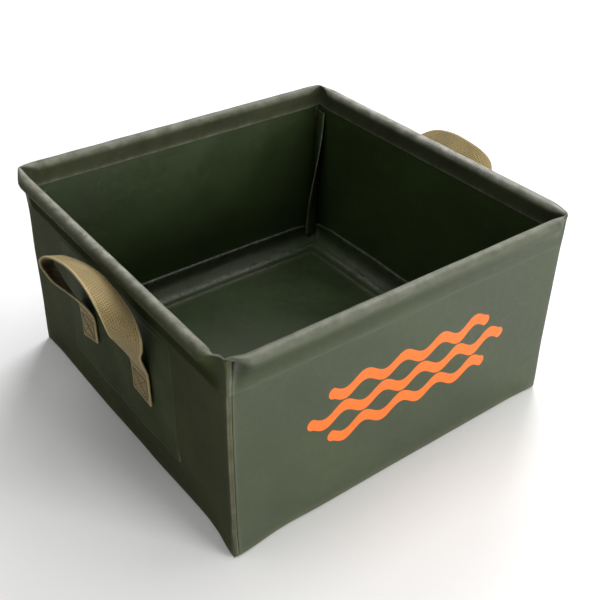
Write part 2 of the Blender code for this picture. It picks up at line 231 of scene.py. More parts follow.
def outer_plan(side, s, out, z):
    """Where an outer face point lies: along the side, then round the + corner and a little way on."""
    minus, plus, at_minus, at_plus = pulls(side, s, z)
    neighbour = SIDES[(SIDES.index(side) + 1) % 4]
    beside = out - foot_out(side, s, z) + foot_out(neighbour, -GROOVE_AT, z)
    turn = np.clip((s - CORNER_AT) / CORNER_BEND, 0.0, math.pi / 2)
    beyond = np.clip(s - CORNER_AT - CORNER_BEND * math.pi / 2, 0.0, None)
    tuck = EAR_TUCK * smooth(1 - z / EAR_HEIGHT) * (1 - beyond / LAP) if side == "left" else 0.0
    straight = s <= CORNER_AT
    along_flat = s - (plus[0] + tuck) * at_plus + minus[0] * at_minus
    out_flat = out - plus[1] * at_plus - minus[1] * at_minus - round_in(s + GROOVE_AT)
    crown = LAP_CROWN * np.sin(np.clip(beyond / LAP, 0, 1) * math.pi)
    along_radius = np.maximum(beside - CORNER_AT, SMALLEST_BEND)
    along_bent = CORNER_AT - plus[0] - tuck + along_radius * np.sin(turn) + crown - round_in(END_S - s)
    out_radius = np.maximum(out - CORNER_AT, SMALLEST_BEND)
    out_bent = CORNER_AT - plus[1] + out_radius * np.cos(turn) - beyond
    return np.where(straight, along_flat, along_bent), np.where(straight, out_flat, out_bent)


def inner_plan(side, s, out, z):
    """Where an inner face point lies. Inner faces of neighbouring sides meet on the diagonal."""
    minus, plus, at_minus, at_plus = pulls(side, s, z)
    keep = 0.150
    far_plus = keep + (s - keep) / (END_S - keep) * (out - keep)
    far_minus = -keep + (s + keep) / (GROOVE_AT - keep) * (out - keep)
    along = np.where(s > keep, far_plus, np.where(s < -keep, far_minus, s))
    return along - plus[0] * at_plus + minus[0] * at_minus, out - plus[1] * at_plus - minus[1] * at_minus


def side_columns(count):
    """Places along a side, close together at both ends."""
    near_minus = np.array([0, 0.0002, 0.0005, 0.0008, 0.0014, 0.0022, 0.0034, 0.005, 0.008, 0.012])
    middle = np.linspace(-0.149, 0.149, count)
    near_plus = np.array([0.154, 0.158, 0.161, 0.164, 0.166, 0.1675, 0.1685, CORNER_AT])
    bend = CORNER_AT + CORNER_BEND * np.linspace(0, math.pi / 2, 7)[1:]
    lap = END_S - np.array([0.0028, 0.0020, 0.0014, 0.0008, 0.0005, 0.0002, 0])
    return np.concatenate([near_minus - GROOVE_AT, middle, near_plus, bend, lap])


def new_object(name, points, faces, uvs, materials, face_materials=None):
    """A mesh object in the frame's axes, with a map of the flat cloth in metres."""
    mesh = bpy.data.meshes.new(name)
    mesh.from_pydata([tuple(p) for p in points], [], faces)
    layer = mesh.uv_layers.new(name="cloth")
    loops = np.empty(len(mesh.loops), np.int32)
    mesh.loops.foreach_get("vertex_index", loops)
    layer.uv.foreach_set("vector", np.asarray(uvs, np.float32)[loops].ravel())
    for material in materials:
        mesh.materials.append(material)
    if face_materials is not None:
        mesh.polygons.foreach_set("material_index", np.asarray(face_materials, np.int32))
    mesh.polygons.foreach_set("use_smooth", np.ones(len(mesh.polygons), bool))
    made = bpy.data.objects.new(name, mesh)
    bpy.context.scene.collection.objects.link(made)
    return made


def add_wear_and_painted_light(made, values):
    """How rubbed the cloth is at each point, with its painted highlights and painted shade, for its material.
    """
    wear_and_painted_light = made.data.attributes.new("wear_and_painted_light", "FLOAT", "POINT")
    wear_and_painted_light.data.foreach_set("value", np.asarray(values, np.float32).ravel())


def grid_faces(rows, columns, first=0, closed=False, flip=False):
    """The faces of a grid of points. In a closed grid each row is a ring."""
    faces = []
    for r in range(rows - 1):
        for c in range(columns if closed else columns - 1):
            a, b = first + r * columns + c, first + r * columns + (c + 1) % columns
            faces.append((a, a + columns, b + columns, b) if flip else (a, b, b + columns, a + columns))
    return faces


def cap_faces(rings, count, first=0):
    """The two faces that close a tube of rings."""
    start, end = range(first, first + count), range(first + (rings - 1) * count, first + rings * count)
    return [tuple(reversed(start)), tuple(end)]


def folds(made):
    """Carries a piece on the base's body, with a mesh of its own."""
    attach(made, "tub")
    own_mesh(made)


def sheet_object(side, name, outer, inner, u, v, wear_and_painted_light, materials, smooth_degrees=40, inner_painted_shade=None):
    """A closed thin sheet between two grids of a side's local points, mapped on the cloth by u and v."""
    rows, columns = outer.shape[:2]
    count = rows * columns
    points = turned(side, np.concatenate([outer.reshape(-1, 3), inner.reshape(-1, 3)]))
    faces = grid_faces(rows, columns) + grid_faces(rows, columns, count, flip=True)
    half = (rows - 1) * (columns - 1)
    kinds = [0] * half + [len(materials) - 1] * half
    ring = list(range(columns))
    ring += [r * columns + columns - 1 for r in range(1, rows)]
    ring += [(rows - 1) * columns + c for c in range(columns - 2, -1, -1)]
    ring += [r * columns for r in range(rows - 2, 0, -1)]
    faces += [(a, a + count, b + count, b) for a, b in zip(ring, ring[1:] + ring[:1])]
    kinds += [0] * len(ring)
    uvs = np.tile(np.stack([u.ravel(), v.ravel()], axis=-1), (2, 1))
    made = new_object(name, points, faces, uvs, materials, kinds)
    add_wear_and_painted_light(made, np.concatenate([wear_and_painted_light.ravel(), (wear_and_painted_light if inner_painted_shade is None else inner_painted_shade).ravel()]))
    made.data.set_sharp_from_angle(angle=math.radians(smooth_degrees))
    return made


# Materials

# The range that most of a noise's values lie in
NOISE_RANGE = (0.3, 0.7)
# Noise scales, in features per metre
STAIN_SCALE, GRID_FADE_SCALE, UNEVEN_SCALE = 11.0, 22.0, 34.0
RUB_SCALE, SPECK_SCALE, INK_SCALE = 70.0, 140.0, 260.0
# The distances between the threads under the coating and between the lines in it
THREAD_PITCH, GRID_PITCH = 0.00115, 0.0110
# The paler colour of rubbed coating, also used to paint highlights
RUBBED_AND_HIGHLIGHT_COLOUR = (0.260, 0.258, 0.205, 1.0)
GRID_COLOUR = (0.16, 0.17, 0.14, 1.0)
INK_COLOURS = ((0.69, 0.122, 0.003, 1.0), (0.74, 0.140, 0.006, 1.0))
# The webbing's ribs across it, its columns along it, and the slanting lines of its twill
RIB_PITCH, COLUMN_PITCH = 0.00165, 0.0021
TWILL_PITCH, TWILL_SLANT = 0.0024, 0.9
# The selvedge starts and is full at these distances from the webbing's edge
SELVEDGE = (0.0022, 0.0012)


class Nodes:
    """Short names for building a material's nodes."""

    def __init__(self, name):
        self.material = bpy.data.materials.new(name)
        self.material.use_nodes = True
        self.tree = self.material.node_tree
        self.shader = self.tree.nodes["Principled BSDF"]

    def put(self, socket, value):
        if isinstance(value, bpy.types.NodeSocket):
            self.tree.links.new(value, socket)
        else:
            socket.default_value = value

    def add(self, kind, output, inputs=(), **settings):
        node = self.tree.nodes.new(kind)
        for key, value in settings.items():
            setattr(node, key, value)
        for key, value in inputs:
            self.put(node.inputs[key], value)
        return node.outputs[output]

    def maths(self, operation, *values):
        return self.add("ShaderNodeMath", 0, list(enumerate(values)), operation=operation)

    def plus(self, first, second):
        return self.maths("ADD", first, second)

    def minus(self, first, second):
        return self.maths("SUBTRACT", first, second)

    def times(self, first, second):
        return self.maths("MULTIPLY", first, second)

    def held(self, value, low, high):
        """The value kept between two limits."""
        return self.maths("MINIMUM", self.maths("MAXIMUM", value, low), high)

    def mix(self, share, first, second):
        return self.add("ShaderNodeMix", "Result", ((0, share), (6, first), (7, second)), data_type="RGBA")

    def spread(self, value, low, high, out_low=0.0, out_high=1.0):
        """The range from low to high stretched to another range."""
        inputs = ((0, value), (1, low), (2, high), (3, out_low), (4, out_high))
        return self.add("ShaderNodeMapRange", 0, inputs)

    def noise(self, place, scale, detail=3.0, roughness=0.55):
        inputs = (("Vector", place), ("Scale", scale), ("Detail", detail), ("Roughness", roughness))
        return self.add("ShaderNodeTexNoise", "Fac", inputs)

    def cloth(self):
        """The place on the flat cloth and its two coordinates."""
        place = self.add("ShaderNodeUVMap", "UV", uv_map="cloth")
        return place, *(self.add("ShaderNodeSeparateXYZ", axis, ((0, place),)) for axis in "XY")

    def wave(self, value, pitch):
        return self.maths("SINE", self.times(value, 2 * math.pi / pitch))

    def bump(self, height, distance, before=None):
        inputs = [("Height", height), ("Distance", distance)]
        if before is not None:
            inputs.append(("Normal", before))
        return self.add("ShaderNodeBump", "Normal", inputs)

    def finish(self, **sockets):
        for name, value in sockets.items():
            self.put(self.shader.inputs[name.replace("_", " ")], value)
        return self.material


def scaled(colour, share, extra=0.0):
    """A colour made darker or paler, as a colour with full cover."""
    return tuple(min(c * share + extra, 1.0) for c in colour) + (1.0,)


def wave_print(n, u, v):
    """A mask of three water waves, printed in the middle of the front wall."""
    middle_u, middle_v = 0.0065, 0.0925
    spacing, swing, length = 0.0215, 0.0046, 0.0400
    middle_half, shorter, half_width, soft_edge = 0.101, 0.0200, 0.0056, 0.0003
    du = n.minus(u, middle_u)
    dv = n.minus(v, middle_v)
    row = n.held(n.maths("ROUND", n.maths("DIVIDE", dv, spacing)), -1.0, 1.0)
    half_length = n.minus(middle_half, n.times(n.maths("ABSOLUTE", row), shorter))
    held = n.held(du, n.times(half_length, -1.0), half_length)
    past = n.minus(du, held)
    shifted = n.plus(held, n.times(row, length / 2))
    centre = n.plus(n.times(row, spacing), n.times(n.wave(shifted, length), swing))
    off = n.minus(dv, centre)
    apart = n.maths("SQRT", n.plus(n.times(past, past), n.times(off, off)))
    return n.spread(apart, half_width, half_width - soft_edge)


def coated_sheet(name, colour, rough, shine, print_it=False, grid=0.0, rub_shine=0.0, weave_depth=0.00008):
    """PVC coated cloth: a fine woven grid under the coating, slow stains, paler rubbed edges with painted
    highlights, and painted shade.
    """
    n = Nodes(name)
    place, u, v = n.cloth()
    slow = n.noise(place, STAIN_SCALE, 3.0)
    fine = n.noise(place, SPECK_SCALE, 4.0, 0.6)
    body = n.mix(n.spread(slow, *NOISE_RANGE), scaled(colour, 0.80), scaled(colour, 1.22))
    body = n.mix(n.spread(fine, 0.62, 0.80), body, scaled(colour, 1.5, 0.01))
    wear_and_painted_light = n.add("ShaderNodeAttribute", "Fac", attribute_name="wear_and_painted_light")
    rubbed_and_highlight = n.times(wear_and_painted_light, n.spread(n.noise(place, RUB_SCALE, 5.0, 0.7), 0.35, 0.65, 0.35, 1.0))
    # Paler where rubbed and where highlights are painted
    body = n.mix(rubbed_and_highlight, body, RUBBED_AND_HIGHLIGHT_COLOUR)
    # Painted shade: darker where the value is below zero, in creases and inside corners
    body = n.mix(n.spread(wear_and_painted_light, 0.0, -1.0), body, scaled(colour, 0.35))
    weave = n.times(n.wave(u, THREAD_PITCH), n.wave(v, THREAD_PITCH))
    roughness = n.spread(fine, *NOISE_RANGE, rough - 0.05, rough + 0.07)
    roughness = n.plus(roughness, n.spread(slow, *NOISE_RANGE, -0.05, 0.05))
    roughness = n.minus(roughness, n.times(wear_and_painted_light, 0.16))
    normal = n.bump(weave, weave_depth)
    normal = n.bump(n.noise(place, UNEVEN_SCALE, 2.0, 0.5), 0.0011, normal)
    if grid:
        lines = [n.maths("ABSOLUTE", n.wave(value, GRID_PITCH)) for value in (u, v)]
        lines = n.spread(n.maths("MAXIMUM", *lines), 0.985, 1.0)
        lines = n.times(lines, n.spread(n.noise(place, GRID_FADE_SCALE, 2.0), 0.42, 0.60))
        body = n.mix(n.times(lines, grid), body, GRID_COLOUR)
        normal = n.bump(lines, 0.00012, normal)
    if print_it:
        mask = wave_print(n, u, v)
        worn = n.times(mask, n.spread(n.noise(place, INK_SCALE, 4.0, 0.7), 0.22, 0.30, 0.86, 1.0))
        body = n.mix(worn, body, n.mix(n.spread(slow, *NOISE_RANGE), *INK_COLOURS))
        normal = n.bump(mask, 0.00008, normal)
    if rub_shine:
        shine = n.plus(n.times(rubbed_and_highlight, rub_shine), shine)
    return n.finish(Base_Color=body, Roughness=roughness, Normal=normal, Specular_IOR_Level=shine)


def webbing_material(name, colour, edge):
    """Flat webbing: ribs across it, a slanting twill between them, and close selvedges, painted paler with a
    highlight along the edges.
    """
    n = Nodes(name)
    place, u, v = n.cloth()
    from_middle = n.maths("ABSOLUTE", u)
    slant = n.wave(n.plus(v, n.times(from_middle, TWILL_SLANT)), TWILL_PITCH)
    twill = n.plus(slant, n.wave(u, COLUMN_PITCH))
    weave = n.plus(n.times(n.wave(v, RIB_PITCH), 0.55), n.times(twill, 0.30))
    slow = n.noise(place, 30.0, 3.0)
    fine = n.noise(place, 700.0, 3.0, 0.7)
    dark = scaled(colour, 0.30)
    body = n.mix(n.spread(weave, -0.9, 0.7), dark, scaled(colour, 1.22))
    body = n.mix(n.spread(slow, 0.42, 0.68, 0.0, 0.75), body, scaled(colour, 0.56))
    body = n.mix(n.spread(fine, 0.35, 0.75, 0.0, 0.35), body, dark)
    selvedge_and_highlight = n.spread(from_middle, *(WEBBING_WIDTH / 2 - distance for distance in SELVEDGE))
    # Paler selvedges: the selvedge's own tone with a painted highlight along the edges
    body = n.mix(n.times(selvedge_and_highlight, 0.6), body, edge + (1.0,))
    normal = n.bump(weave, 0.00040)
    normal = n.bump(fine, 0.00015, normal)
    return n.finish(
        Base_Color=body, Roughness=n.spread(fine, *NOISE_RANGE, 0.55, 0.8), Normal=normal,
        Specular_IOR_Level=0.22, Sheen_Weight=0.08, Sheen_Roughness=0.4,
    )


def thread_material():
    """Twisted thread, dark from use."""
    n = Nodes("box_thread")
    _, u, v = n.cloth()
    twist = n.wave(n.plus(v, u), 0.0006)
    body = n.mix(n.spread(twist, -1.0, 1.0), (0.105, 0.070, 0.038, 1.0), (0.20, 0.145, 0.085, 1.0))
    return n.finish(Base_Color=body, Roughness=0.6, Normal=n.bump(twist, 0.00006), Sheen_Weight=0.2)


def rod_material():
    """Plain grey plastic with a faint grain."""
    n = Nodes("rod_plastic")
    place = n.add("ShaderNodeTexCoord", "Object")
    grain = n.noise(place, 300.0, 4.0)
    body = n.mix(grain, (0.26, 0.26, 0.25, 1.0), (0.34, 0.34, 0.33, 1.0))
    roughness = n.spread(grain, *NOISE_RANGE, 0.4, 0.55)
    return n.finish(Base_Color=body, Roughness=roughness, Normal=n.bump(grain, 0.00004))


FRONT = (0.029, 0.041, 0.015)
INSIDE = (0.030, 0.0492, 0.0132)
BASE = (0.02625, 0.04305, 0.01155)
front_face = coated_sheet("sheet_front", FRONT, 0.48, 0.42, print_it=True)
outer_face = coated_sheet("sheet_outside", (0.043, 0.048, 0.023), 0.60, 0.02)
inner_face = coated_sheet("sheet_inside", INSIDE, 0.38, 0.32)
hem_face = coated_sheet("sheet_hem", (0.038, 0.045, 0.020), 0.50, 0.07, rub_shine=0.7)
front_hem_face = coated_sheet("sheet_front_hem", FRONT, 0.48, 0.40)
tray_face = coated_sheet("sheet_base", BASE, 0.36, 0.38, grid=0.2, rub_shine=1.9, weave_depth=0.00010)
patch_face = coated_sheet("sheet_patch", (0.041, 0.052, 0.023), 0.58, 0.03, grid=0.32)
webbing = webbing_material("webbing_tan", (0.40, 0.302, 0.128), (0.56, 0.45, 0.24))
# A darker copy of the webbing: painted shade on the loop's inner face
webbing_painted_shade = webbing_material("webbing_tan_painted_shade", (0.165, 0.115, 0.055), (0.40, 0.32, 0.17))
thread = thread_material()
rod_finish = rod_material()


# Walls

# How rubbed a wall is at its cut edges, its corner's bend, its foot and its lap, with a painted highlight on
# the lap, and a factor for it all
EDGE_WEAR, BEND_WEAR, FOOT_WEAR, LAP_WEAR_AND_HIGHLIGHT = 0.4, 0.42, 0.5, 0.12
WALL_WEAR = 0.85
# The painted shade inside the corners: its strength, where it is full along the wall, and its top
CORNER_PAINTED_SHADE, SHADE_FROM, SHADE_TOP = 0.9, 0.166, 0.165


def edge_distance(s):
    """How far a place along a side is from the nearer end of its sheet."""
    return np.minimum(s + GROOVE_AT, END_S - s)


def lap_wear_and_highlight(s):
    """How pale the lap is that turns round a corner: rubbed wear with a painted highlight."""
    return smooth((s - CORNER_AT - 0.0010) / 0.0015) * LAP_WEAR_AND_HIGHLIGHT


def build_wall(side):
    """A wall's sheet, which reaches round its + corner and laps on the next wall."""
    foot = FOOT_ROUND * (1 - np.cos(np.linspace(0, math.pi / 2, 6)))
    ss, zz = np.meshgrid(side_columns(100), np.concatenate([foot, np.linspace(0.004, WALL_TOP, 64)]))
    along, face = outer_plan(side, ss, wall_out(side, ss, zz), zz)
    outer = np.stack([along, face, zz], axis=-1)
    along_in, face_in = inner_plan(side, ss, wall_out(side, ss, np.maximum(zz, FOOT_ROUND)) - SHEET, zz)
    inner = np.stack([along_in, face_in, np.maximum(zz, SHEET)], axis=-1)
    edge = EDGE_WEAR * fading(edge_distance(ss), 0.0012)
    bend = BEND_WEAR * fading(np.abs(ss - CORNER_AT - CORNER_BEND), 0.0015)
    foot_wear = FOOT_WEAR * fading(zz, 0.003)
    wear_and_painted_light = WALL_WEAR * np.clip(edge + bend + foot_wear + lap_wear_and_highlight(ss), 0, 1)
    # Painted shade on the inner faces near the corners
    corner_shade = CORNER_PAINTED_SHADE * fading(SHADE_FROM - np.abs(ss), 0.016) * smooth((SHADE_TOP - zz) / 0.03)
    made = sheet_object(
        side, side + "_wall_sheet", outer, inner, ss, zz, wear_and_painted_light,
        [front_face if side == "front" else outer_face, inner_face], inner_painted_shade=-corner_shade,
    )
    folds(made)
    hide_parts(side + "_wall")


# Hems

# A hem's section: its straight outer foot, its inner ply's end and the flat sleeve's tip, as (out, up)
HEM_OUT, HEM_FOOT_TOP = 0.17015, 0.162
INNER_PLY_END = (0.16865, 0.1695)
FLAT_TIP, FLAT_ROUND, FLAT_TOP = (0.1712, 0.1862), 0.0010, 0.1872
# The flat sleeve's thickness as a share of the sheet's
FLAT_LINING = 0.85
# The shares of the section that follow the wall's bulges, and where they don't push the lining out
FOLLOW_SHARE, LINING_SHARE = 0.20, 0.12
HEM_UNEVENNESS = 0.000168
# How rubbed a hem is on its inner ply, at its cut ends and along the inner ply's free edge, where a painted
# highlight is added too
INNER_PLY_WEAR, HEM_END_WEAR, FREE_EDGE_WEAR_AND_HIGHLIGHT = 0.05, 0.6, 0.60


def curve_between(start, leave, end, arrive, count):
    """A smooth line from start, leaving one way, to end, arriving another way."""
    t = np.linspace(0, 1, count)[:, None]
    h1, h2, h3, h4 = 2 * t**3 - 3 * t**2 + 1, t**3 - 2 * t**2 + t, -2 * t**3 + 3 * t**2, t**3 - t**2
    return h1 * np.array(start) + h2 * np.array(leave) + h3 * np.array(end) + h4 * np.array(arrive)


def circle_points(centre, radius, first, last):
    """The round at the top of a hem's section, between two angles in degrees."""
    angles = np.radians(np.linspace(first, last, 22))
    return [(centre[0] + radius * math.cos(a), centre[1] + radius * math.sin(a)) for a in angles]


def hem_section(circle, leave_foot, meet_circle, leave_circle, meet_end):
    """The hem's outer skin: up outside, over its round and down inside."""
    foot = [(HEM_OUT, z) for z in np.linspace(HEM_FOOT, HEM_FOOT_TOP, 4)]
    rise = curve_between(foot[-1], leave_foot, circle[0], meet_circle, 12)[1:]
    fall = curve_between(circle[-1], leave_circle, INNER_PLY_END, meet_end, 9)[1:]
    return np.concatenate([foot, rise, circle[1:], fall])


def round_section():
    """The skin where the hem holds a rod."""
    circle = circle_points((ROD_OUT, ROD_UP), SLEEVE_RADIUS, -24, 186)
    return hem_section(circle, (0.0, 0.022), (0.006, 0.0125), (0.0002, -0.008), (0.0, -0.010))


def flat_section():
    """The skin past the rod's end, where the empty sleeve lies flat."""
    circle = circle_points(FLAT_TIP, FLAT_ROUND, 0, 180)
    return hem_section(circle, (0.0, 0.010), (0.002, 0.010), (-0.0008, -0.006), (0.0, -0.008))


def inset(section, distance):
    """The section moved to the left of its own direction by a distance."""
    step = unit(np.gradient(section, axis=0))
    return section + distance * np.stack([-step[:, 1], step[:, 0]], axis=1)


def hem_grid(side, s, t, round_line, flat_line, lining):
    """The points of a hem's skin or lining, where t is the share of the way round its section."""
    past_rod = np.where(s < 0, *((np.abs(s) - rod_end) / fall_off for rod_end, fall_off in HEM_END[side]))
    flatness = (np.clip(past_rod, 0, 1) + smooth(past_rod)) / 2
    minus, plus = ends_of(side)
    raised = np.where(s > 0, CORNER_TOP[plus], CORNER_TOP[minus]) - FLAT_TOP
    section = round_line[:, None] * (1 - flatness[:, None]) + flat_line[:, None] * flatness[:, None]
    out, up = section[..., 0], section[..., 1]
    ss = np.broadcast_to(s, out.shape)
    out = out + (wall_out(side, ss, up) - WALL_OUT) * smooth(1 - t / FOLLOW_SHARE)
    if lining:
        out = np.where(t < LINING_SHARE, np.minimum(out, section[..., 0]), out)
    sleeve = np.sin(np.clip((t - 0.15) / 0.7, 0, 1) * math.pi)
    up = up + HEM_UNEVENNESS * ripple("floor", ss * 1.7 + SIDES.index(side), t * 0.02) * sleeve
    outside = 1 - smooth((t - 0.36) / 0.34)
    outer, inner = np.stack(outer_plan(side, ss, out, up)), np.stack(inner_plan(side, ss, out, up))
    along, face = outer * outside + inner * (1 - outside)
    stretch = np.clip((up - 0.166) / 0.021, 0, 1.2) * flatness * raised
    return np.stack([along, face, up + stretch], axis=-1)


def hem_wear_and_painted_light(side, ss, t):
    """How rubbed a hem is, round its section and along it, with its painted highlights and painted shade."""
    start, rise, full = CREST_WEAR_AND_HIGHLIGHT[side]
    # The crest: rubbed wear with a painted highlight, stronger towards the end where light catches it
    crest = smooth((t - start) / rise) * smooth((0.84 - t) / 0.14)
    wear_and_painted_light = crest * (full + CREST_HIGHLIGHT_LEAN[side] * ss / CORNER_AT)
    foot_edge_highlight, shade, place, reach = FOOT_HIGHLIGHT_AND_CREASE_SHADE[side]
    # The outer foot's edge: rubbed wear with a painted highlight
    wear_and_painted_light += INNER_PLY_WEAR * smooth((t - 0.76) / 0.10) + foot_edge_highlight * fading(t, 0.020)
    # Painted shade in the crease above the hem's outer foot
    wear_and_painted_light -= shade * bell(t, place, reach) * smooth((0.167 - np.abs(ss)) / 0.020)
    wear_and_painted_light += lap_wear_and_highlight(ss) * smooth((0.5 - t) / 0.1)
    # The inner ply's free edge is paler: rubbed wear with a painted highlight
    wear_and_painted_light += HEM_END_WEAR * fading(edge_distance(ss), 0.0015) + FREE_EDGE_WEAR_AND_HIGHLIGHT * fading(1 - t, 0.028)
    return np.clip(wear_and_painted_light, -1, 1)


def build_hem(side):
    """A hem's sheet: the sleeve round the rod, flat past the rod's ends."""
    s = side_columns(90)
    skin = round_section(), flat_section()
    lining = inset(skin[0], SHEET), inset(skin[1], SHEET * FLAT_LINING)
    t = np.linspace(0, 1, len(skin[0]))[:, None]
    outer = hem_grid(side, s, t, *skin, lining=False)
    inner = hem_grid(side, s, t, *lining, lining=True)
    length = lengths_to(skin[0])
    ss, zz = np.meshgrid(s, HEM_FOOT + length)
    made = sheet_object(
        side, side + "_hem_sheet", outer, inner, ss, zz, hem_wear_and_painted_light(side, ss, t),
        [front_hem_face if side == "front" else hem_face, inner_face], 60,
    )
    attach(made, "rim")
    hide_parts(side + "_rim_hem")


# Base

TRAY_TOP, TRAY_FILLET, TRAY_FLOOR = 0.0245, 0.012, 0.0012
TRAY_CLEAR = 0.0004
TRAY_OUT = WALL_OUT - SHEET - TRAY_CLEAR
# Points of the profile below the margin's top, and in from the margin on the welded strip
MARGIN_DROPS = (0, 0.0003, 0.0008, 0.0014, 0.0021, 0.0030, 0.0042, 0.006, 0.0085)
STRIP_PLACES = (0.0135, 0.015, 0.0165, 0.018, 0.0195, 0.021, 0.0225, 0.024, 0.0255, 0.027, 0.029, 0.032)
# Points on each side of the base, and half the length of wall they follow
TRAY_PER_SIDE, TRAY_ALONG = 96, 0.1682
# How far the margin sinks near the corners, and how far its corners are rounded in
MARGIN_SINK, TRAY_CORNER = 0.004, 0.0020
# The welt along the margin's top, and the places and heights of the floor's bend and weld
WELT = 0.0011
BEND_AT, BEND_RIDGE = 0.0125, 0.0008
WELD_AT, WELD_RIDGE = 0.0235, 0.0007
RIDGE_WIDTH, FLOOR_SWELL = 0.0030, 0.0008
# How far in the base follows its wall
TRAY_FOLLOW = 0.03
# How pale the base is at its margin's top, weld and bend, from rubbed wear with a painted highlight, and at
# its fillet, from a painted highlight; and the share of that at its corners
MARGIN_WEAR_AND_HIGHLIGHT, WELD_WEAR_AND_HIGHLIGHT, TRAY_BEND_WEAR_AND_HIGHLIGHT, FILLET_HIGHLIGHT = 0.70, 0.30, 0.56, 0.13
CORNER_SHARE = 0.25


def tray_profile():
    """The base's section from the margin's top to near its middle, as (distance in, height) pairs."""
    margin = [(0.0, TRAY_TOP - drop) for drop in MARGIN_DROPS]
    fillet = [(TRAY_FILLET * (1 - math.cos(a)), TRAY_FLOOR + TRAY_FILLET * (1 - math.sin(a)))
              for a in np.linspace(0, math.pi / 2, 10)]
    floor = [(d, TRAY_FLOOR) for d in STRIP_PLACES]
    floor += [(d, TRAY_FLOOR) for d in np.linspace(0.037, 0.163, 30)]
    return np.array(margin + fillet + floor)


def tray_line(side, s, d, z):
    """One side's points of a line round the base: on its upper face, its lower face and the flat cloth."""
    at = s * TRAY_ALONG
    high = z - MARGIN_SINK * smooth((np.abs(at) - 0.135) / 0.03) * (z > 0.015)
    welt = WELT * bell(z, TRAY_TOP - 0.0018, 0.0015)
    out = wall_out(side, at, np.maximum(high, FOOT_ROUND)) - SHEET - TRAY_CLEAR - welt
    pull_minus, pull_plus, at_minus, at_plus = pulls(side, at, high)
    near = np.clip(1 - d / TRAY_FOLLOW, 0, 1)
    corner = smooth((np.abs(s) - 0.955) / 0.045) * TRAY_CORNER * near
    out = TRAY_OUT + (out - TRAY_OUT) * near
    out = out - (pull_minus[1] * at_minus + pull_plus[1] * at_plus) * near - d - corner
    along = s * (TRAY_OUT - d) + (pull_minus[0] * at_minus - pull_plus[0] * at_plus) * near
    along = along - np.sign(s) * corner
    upper = turned(side, np.stack([along, out, high], axis=-1))
    rolling = ripple("floor", upper[:, 0] * 0.8, upper[:, 1] * 0.9)
    upper[:, 2] += FLOOR_SWELL * (rolling + 1.0) * smooth((d - 0.028) / 0.04)
    if d > 0.001:
        upper[:, 2] += BEND_RIDGE * bell(d, BEND_AT, RIDGE_WIDTH)
        upper[:, 2] += WELD_RIDGE * bell(d, WELD_AT, RIDGE_WIDTH)
    shift = SHEET * 0.8 if z > TRAY_FLOOR + 0.0005 else 0.0
    lower = turned(side, np.stack([along, out + shift, high], axis=-1))
    lower[:, 2] = np.maximum(upper[:, 2] - (0 if z > TRAY_FLOOR + TRAY_FILLET * 0.5 else SHEET), 0.0002)
    flat = turned(side, np.stack([along, out + max(z - TRAY_FLOOR, 0.0), high], axis=-1))
    return upper, lower, flat[:, :2]


def tray_wear_and_highlight(s, d, z):
    """How pale one line round the base is, from rubbed wear and painted highlights: its marks are strongest
    in the middle of a side.
    """
    mark = MARGIN_WEAR_AND_HIGHLIGHT * bell(z, TRAY_TOP - 0.0022, 0.0024) + WELD_WEAR_AND_HIGHLIGHT * bell(d, WELD_AT, 0.0020)
    mark += TRAY_BEND_WEAR_AND_HIGHLIGHT * bell(d, BEND_AT, 0.0026) + FILLET_HIGHLIGHT * smooth((0.022 - d) / 0.010)
    middle = smooth((0.97 - np.abs(s)) / 0.45)
    return min(mark, 1.0) * (CORNER_SHARE + (1 - CORNER_SHARE) * middle)


def build_tray():
    """The base: one sheet whose margin turns up inside the walls, with its soft bend and weld line."""
    s = np.linspace(-1, 1, TRAY_PER_SIDE, endpoint=False)
    s = np.sign(s) * (1 - (1 - np.abs(s)) ** 1.25)
    top, below, uvs, wear_and_painted_light = [], [], [], []
    for d, z in tray_profile():
        lines = [tray_line(side, s, d, z) for side in SIDES]
        for grid, line in zip((top, below, uvs), zip(*lines)):
            grid.append(np.concatenate(line))
        wear_and_painted_light.append(np.tile(tray_wear_and_highlight(s, d, z), len(SIDES)))
    top, below, uvs, wear_and_painted_light = (np.array(grid) for grid in (top, below, uvs, wear_and_painted_light))
    rows, columns = top.shape[:2]
    count = rows * columns
    faces = grid_faces(rows, columns, closed=True) + grid_faces(rows, columns, count, closed=True, flip=True)
    faces += [(b, a, a + count, b + count) for a, b in ((c, (c + 1) % columns) for c in range(columns))]
    faces.append(tuple(range(count - columns, count)))
    faces.append(tuple(reversed(range(2 * count - columns, 2 * count))))
    points = np.concatenate([top.reshape(-1, 3), below.reshape(-1, 3)])
    flat = np.concatenate([uvs.reshape(-1, 2)] * 2)
    made = new_object("base_tray_sheet", points, faces, flat, [tray_face])
    add_wear_and_painted_light(made, np.concatenate([wear_and_painted_light.ravel()] * 2))
    made.data.set_sharp_from_angle(angle=math.radians(50))
    folds(made)
    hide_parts("base_panel")


# Corner fins

FIN_FOOT, FIN_TOP = 0.012, 0.1655
# Where a fin leaves its corner, along and out, and how far in from there it starts
FIN_ROOT, FIN_START = 0.1683, 0.0006
# Its width at its foot and what is lost of it higher up, and its lean at its foot and how far that turns
FIN_WIDTH, FIN_TAPER = 0.0165, 0.0015
FIN_LEAN_FOOT, FIN_LEAN_RISE = -0.0104, 0.0182
# The fin's half thickness, and how pale its free edge is: rubbed wear with a painted highlight
FIN_HALF_THICKNESS, FIN_EDGE_WEAR_AND_HIGHLIGHT = 0.0009, 0.9
# Where its map of the cloth starts
FIN_UV_START = 0.2


